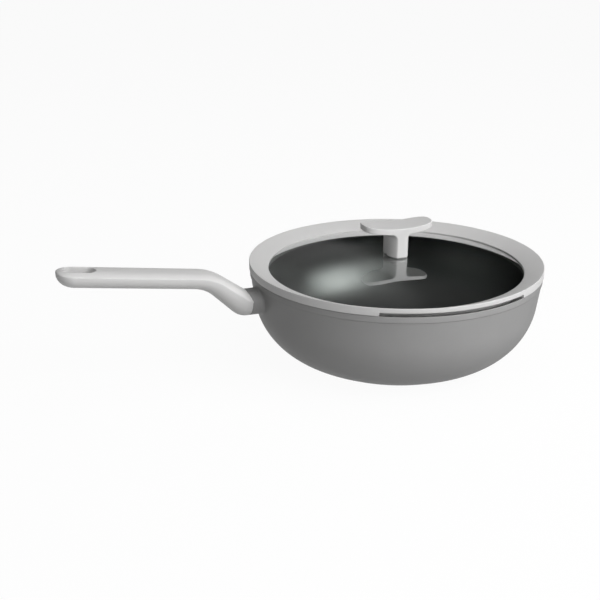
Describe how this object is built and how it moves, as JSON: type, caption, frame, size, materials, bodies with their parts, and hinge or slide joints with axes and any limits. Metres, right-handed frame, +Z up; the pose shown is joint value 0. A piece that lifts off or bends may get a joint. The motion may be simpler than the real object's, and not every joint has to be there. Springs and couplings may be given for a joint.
{
  "type": "saute pan with lid",
  "caption": "Deep round saute pan with a curved wall, a long raised handle and a domed glass lid in a soft rim, with a dished knob and a pouring slot.",
  "frame": {"origin": "centre of the pan's underside, on the surface that it stands on", "axes": "+Z up along the pan's axis, -X out along the handle, -Y and +Y towards the lid's two pouring slots"},
  "size_m": [0.4748, 0.29, 0.1342],
  "materials": {
    "cast_coating": "satin non-stick coating on cast aluminium",
    "disc_steel": "fine turned",
    "soft_grip": "soft-touch, matte",
    "silicone": "matte silicone",
    "dome_glass": "clear tempered",
    "knob_seal": "matte",
    "pale_seal": "matte silicone",
    "fastener_steel": "plain stainless",
    "spring_steel": "dull stainless",
    "bush_steel": "plain stainless",
    "bush_brass": "turned"
  },
  "bodies": {
    "pan": {"pan_body": "cast_coating", "induction_disc": "disc_steel", "lug_insert": "bush_steel", "handle": "soft_grip", "handle_flat_washer": "fastener_steel", "handle_spring_washer": "spring_steel", "handle_screw": "fastener_steel"},
    "lid": {"lid_rim": "silicone", "lid_glass": "dome_glass", "lid_knob": "soft_grip", "knob_insert": "bush_brass", "knob_gasket": "knob_seal", "glass_gasket": "pale_seal", "lid_washer": "fastener_steel", "lid_spring_washer": "spring_steel", "lid_screw": "fastener_steel"}
  },
  "joints": [
    {"name": "lid_lift", "type": "slide", "parent": "pan", "child": "lid", "axis": [0, 0, 1], "range_m": [0, 0.12]}
  ]
}
